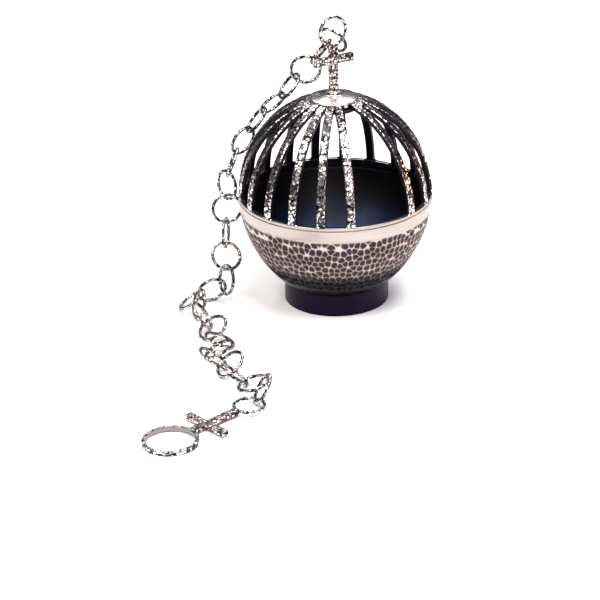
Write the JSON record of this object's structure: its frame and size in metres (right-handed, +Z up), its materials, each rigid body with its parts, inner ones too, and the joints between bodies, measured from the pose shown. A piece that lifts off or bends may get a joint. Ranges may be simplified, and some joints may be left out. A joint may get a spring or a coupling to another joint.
{
  "type": "thurible censer",
  "caption": "Footed hammered metal bowl with a globe cage of bars, a small domed cap, a cross with a ring, and a chain of round links that ends in a hand cross with a finger ring",
  "frame": {"origin": "centre of the foot underside, on the table", "axes": "+Z up, the opening of the cage and the cross face -Y, the chain runs down on the -X side"},
  "size_m": [0.2581, 0.2031, 0.1841],
  "materials": {
    "hammered_bowl": "silver plate, hammered below a smooth satin band, dark in the dimples",
    "hammered_bar": "silver plate with a hammered face, dark in the hollows",
    "hammered_wire": "silver plate, lightly hammered wire",
    "hammered_cross": "silver plate, hammered flat bar",
    "polished_cap": "polished silver plate",
    "satin_trim": "satin silver plate",
    "black_foot": "dark blue-black satin lacquer",
    "black_pan": "matt heat-proof blue-black"
  },
  "bodies": {
    "censer": {"bowl_shell": "hammered_bowl", "bowl_liner": "black_pan", "foot_ring": "black_foot", "cage_base_ring": "satin_trim", "rib_01": "hammered_bar", "rib_02": "hammered_bar", "rib_03": "hammered_bar", "rib_04": "hammered_bar", "rib_05": "hammered_bar", "rib_06": "hammered_bar", "rib_07": "hammered_bar", "rib_08": "hammered_bar", "rib_09": "hammered_bar", "rib_10": "hammered_bar", "rib_11": "hammered_bar", "rib_12": "hammered_bar", "rib_13": "hammered_bar", "rib_14": "hammered_bar", "rib_15": "hammered_bar", "rib_16": "hammered_bar", "rib_17": "hammered_bar", "rib_18": "hammered_bar", "rib_19": "hammered_bar", "crown_ring": "black_pan", "cap_dish": "polished_cap"},
    "top": {"cross_neck": "polished_cap", "neck_nut": "polished_cap", "top_cross": "hammered_cross", "cross_ring": "hammered_wire"},
    "link_01": {"link_01": "hammered_wire"},
    "link_02": {"link_02": "hammered_wire"},
    "link_03": {"link_03": "hammered_wire"},
    "link_04": {"link_04": "hammered_wire"},
    "link_05": {"link_05": "hammered_wire"},
    "link_06": {"link_06": "hammered_wire"},
    "link_07": {"link_07": "hammered_wire"},
    "link_08": {"link_08": "hammered_wire"},
    "link_09": {"link_09": "hammered_wire"},
    "link_10": {"link_10": "hammered_wire"},
    "link_11": {"link_11": "hammered_wire"},
    "link_12": {"link_12": "hammered_wire"},
    "link_13": {"link_13": "hammered_wire"},
    "link_14": {"link_14": "hammered_wire"},
    "link_15": {"link_15": "hammered_wire"},
    "link_16": {"link_16": "hammered_wire"},
    "link_17": {"link_17": "hammered_wire"},
    "link_18": {"link_18": "hammered_wire"},
    "link_19": {"link_19": "hammered_wire"},
    "link_20": {"link_20": "hammered_wire"},
    "link_21": {"link_21": "hammered_wire"},
    "link_22": {"link_22": "hammered_wire"},
    "link_23": {"link_23": "hammered_wire"},
    "link_24": {"link_24": "hammered_wire"},
    "link_25": {"link_25": "hammered_wire"},
    "handle": {"eye_ring": "hammered_wire", "hand_cross": "hammered_cross", "finger_ring": "hammered_wire"}
  },
  "joints": [
    {"name": "cross_swivel", "type": "hinge", "parent": "censer", "child": "top", "pos_m": [0, 0, 0.1347], "axis": [0, 0, 1], "continuous": true},
    {"name": "link_01_hinge", "type": "hinge", "parent": "top", "child": "link_01", "pos_m": [0.0056, 0, 0.16698], "axis": [0.7771, 0, 0.6293], "range_deg": [0, 50]},
    {"name": "link_02_hinge", "type": "hinge", "parent": "link_01", "child": "link_02", "pos_m": [0.00321, 0.01307, 0.16074], "axis": [0.578, -0.4791, -0.6606], "range_deg": [0, 50]},
    {"name": "link_03_hinge", "type": "hinge", "parent": "link_02", "child": "link_03", "pos_m": [-0.00351, 0.02052, 0.14931], "axis": [0.6117, 0.7906, 0.0287], "range_deg": [0, 50]},
    {"name": "link_04_hinge", "type": "hinge", "parent": "link_03", "child": "link_04", "pos_m": [-0.01118, 0.02662, 0.13758], "axis": [0.6983, -0.2723, -0.662], "range_deg": [0, 50]},
    {"name": "link_05_hinge", "type": "hinge", "parent": "link_04", "child": "link_05", "pos_m": [-0.01931, 0.03306, 0.12633], "axis": [-0.4452, -0.8806, -0.1626], "range_deg": [-50, 0]},
    {"name": "link_06_hinge", "type": "hinge", "parent": "link_05", "child": "link_06", "pos_m": [-0.02801, 0.03912, 0.11529], "axis": [-0.7808, -0.5054, 0.3674], "range_deg": [-28, 0]},
    {"name": "link_07_hinge", "type": "hinge", "parent": "link_06", "child": "link_07", "pos_m": [-0.03716, 0.04263, 0.10358], "axis": [-0.3457, -0.9355, 0.073], "range_deg": [-50, 0]},
    {"name": "link_08_hinge", "type": "hinge", "parent": "link_07", "child": "link_08", "pos_m": [-0.04486, 0.04425, 0.09045], "axis": [-0.8183, -0.3547, 0.4524], "range_deg": [-44, 0]},
    {"name": "link_09_hinge", "type": "hinge", "parent": "link_08", "child": "link_09", "pos_m": [-0.05112, 0.04522, 0.07662], "axis": [0.4967, 0.8656, -0.0632], "range_deg": [0, 46]},
    {"name": "link_10_hinge", "type": "hinge", "parent": "link_09", "child": "link_10", "pos_m": [-0.05194, 0.04428, 0.06136], "axis": [0.1593, -0.9849, 0.0676], "range_deg": [-50, 6]},
    {"name": "link_11_hinge", "type": "hinge", "parent": "link_10", "child": "link_11", "pos_m": [-0.0541, 0.04312, 0.04626], "axis": [-0.9441, 0.3002, 0.1362], "range_deg": [-50, 50]},
    {"name": "link_12_hinge", "type": "hinge", "parent": "link_11", "child": "link_12", "pos_m": [-0.05843, 0.03522, 0.034], "axis": [0.1651, 0.7403, -0.6516], "range_deg": [-50, 50]},
    {"name": "link_13_hinge", "type": "hinge", "parent": "link_12", "child": "link_13", "pos_m": [-0.06293, 0.02619, 0.0225], "axis": [-0.9617, 0.2203, 0.1631], "range_deg": [-50, 50]},
    {"name": "link_14_hinge", "type": "hinge", "parent": "link_13", "child": "link_14", "pos_m": [-0.06557, 0.02977, 0.00882], "axis": [0.1314, 0.854, 0.5035], "range_deg": [-50, 50]},
    {"name": "link_15_hinge", "type": "hinge", "parent": "link_14", "child": "link_15", "pos_m": [-0.08062, 0.03221, 0.00824], "axis": [-0.1669, -0.3675, 0.9149], "range_deg": [-50, 50]},
    {"name": "link_16_hinge", "type": "hinge", "parent": "link_15", "child": "link_16", "pos_m": [-0.08803, 0.02143, 0.00859], "axis": [-0.8777, 0.0558, -0.4759], "range_deg": [-50, 50]},
    {"name": "link_17_hinge", "type": "hinge", "parent": "link_16", "child": "link_17", "pos_m": [-0.09077, 0.0065, 0.00845], "axis": [0.2451, -0.1667, 0.955], "range_deg": [-50, 50]},
    {"name": "link_18_hinge", "type": "hinge", "parent": "link_17", "child": "link_18", "pos_m": [-0.09631, -0.00696, 0.00507], "axis": [-0.6715, -0.1112, 0.7326], "range_deg": [-50, 50]},
    {"name": "link_19_hinge", "type": "hinge", "parent": "link_18", "child": "link_19", "pos_m": [-0.09597, -0.02168, 0.00431], "axis": [0.8261, -0.2369, 0.5112], "range_deg": [-50, 50]},
    {"name": "link_20_hinge", "type": "hinge", "parent": "link_19", "child": "link_20", "pos_m": [-0.10203, -0.0356, 0.00507], "axis": [-0.8057, 0.4792, 0.348], "range_deg": [-50, 50]},
    {"name": "link_21_hinge", "type": "hinge", "parent": "link_20", "child": "link_21", "pos_m": [-0.11066, -0.04819, 0.005], "axis": [-0.6964, 0.556, -0.4538], "range_deg": [-50, 50]},
    {"name": "link_22_hinge", "type": "hinge", "parent": "link_21", "child": "link_22", "pos_m": [-0.11402, -0.06072, 0.00385], "axis": [-0.8419, -0.2776, 0.4628], "range_deg": [-50, 50]},
    {"name": "link_23_hinge", "type": "hinge", "parent": "link_22", "child": "link_23", "pos_m": [-0.11283, -0.07419, 0.00576], "axis": [0.7571, -0.2344, 0.6098], "range_deg": [-50, 50]},
    {"name": "link_24_hinge", "type": "hinge", "parent": "link_23", "child": "link_24", "pos_m": [-0.11403, -0.08824, 0.0041], "axis": [-0.7609, -0.3221, 0.5633], "range_deg": [-50, 50]},
    {"name": "link_25_hinge", "type": "hinge", "parent": "link_24", "child": "link_25", "pos_m": [-0.11161, -0.10235, 0.00638], "axis": [0.9665, -0.0748, 0.2454], "range_deg": [-50, 50]},
    {"name": "handle_hinge", "type": "hinge", "parent": "link_25", "child": "handle", "pos_m": [-0.11805, -0.11295, 0.00338], "axis": [0.0681, -0.7788, 0.6236], "range_deg": [-4, 38]}
  ]
}
